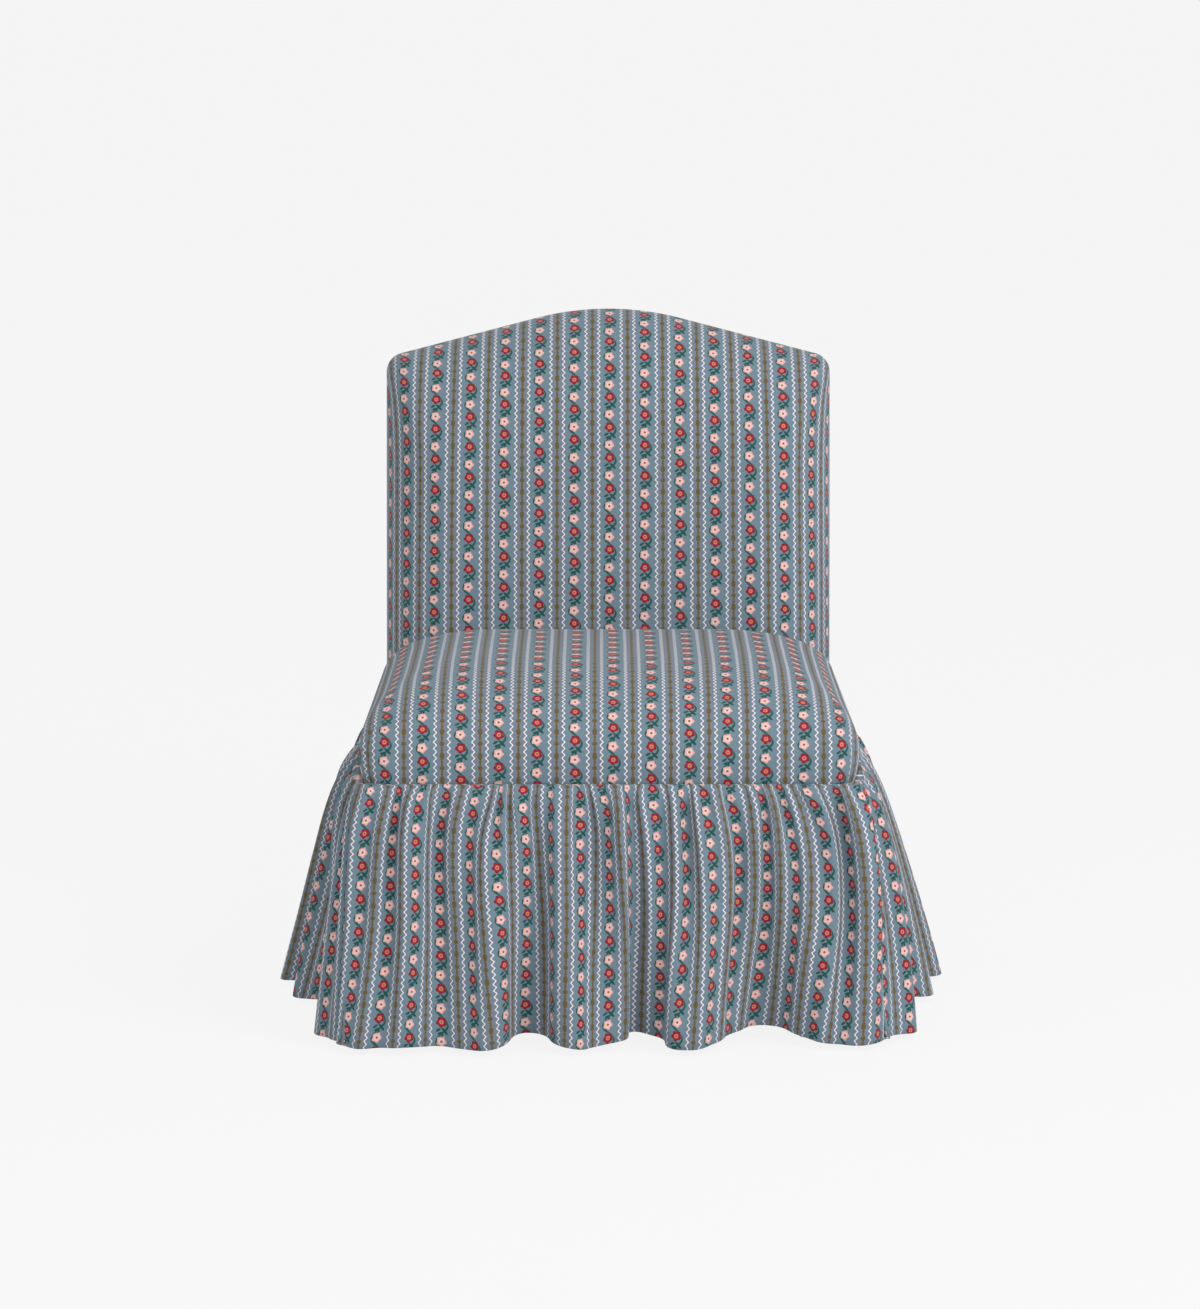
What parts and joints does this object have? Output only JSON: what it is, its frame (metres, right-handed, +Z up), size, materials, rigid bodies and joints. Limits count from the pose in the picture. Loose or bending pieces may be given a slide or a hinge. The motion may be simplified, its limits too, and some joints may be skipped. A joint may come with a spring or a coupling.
{
  "type": "slipper chair",
  "caption": "Armless low slipper chair with a tight crowned seat, a padded arched back and a gathered floor-length skirt in striped floral cloth.",
  "frame": {"origin": "on the floor, under the middle of the skirt's hem", "axes": "+Z up, the chair's front faces -Y, +X is to the right of someone facing the chair"},
  "size_m": [0.8315, 0.7357, 0.8349],
  "materials": {
    "print_cloth": "woven cotton, matte",
    "lining_cloth": "matte",
    "foam": "matte",
    "wadding": "matte",
    "deck_felt": "matte",
    "webbing": "matte",
    "frame_wood": "sawn, unfinished",
    "leg_wood": "satin stain",
    "dowel_wood": "unfinished",
    "zinc_steel": "zinc plated",
    "glide_plastic": "matte",
    "dust_cloth": "matte"
  },
  "bodies": {
    "root": {"seat_cover": "print_cloth", "back_cover": "print_cloth", "outside_back_panel": "print_cloth", "skirt": "print_cloth", "skirt_tape": "lining_cloth", "seat_wadding": "wadding", "back_wadding": "wadding", "seat_foam": "foam", "back_foam": "foam", "seat_deck_pad": "deck_felt", "seat_webbing": "webbing", "back_webbing": "webbing", "seat_rail_front": "frame_wood", "seat_rail_rear": "frame_wood", "seat_rail_left": "frame_wood", "seat_rail_right": "frame_wood", "corner_blocks": "frame_wood", "back_post_left": "frame_wood", "back_post_right": "frame_wood", "back_tack_rail": "frame_wood", "back_crest_rail": "frame_wood", "frame_dowels": "dowel_wood", "front_leg_left": "leg_wood", "front_leg_right": "leg_wood", "leg_nuts": "zinc_steel", "leg_bolts": "zinc_steel", "leg_glides": "glide_plastic", "dust_cover": "dust_cloth"}
  },
  "joints": []
}
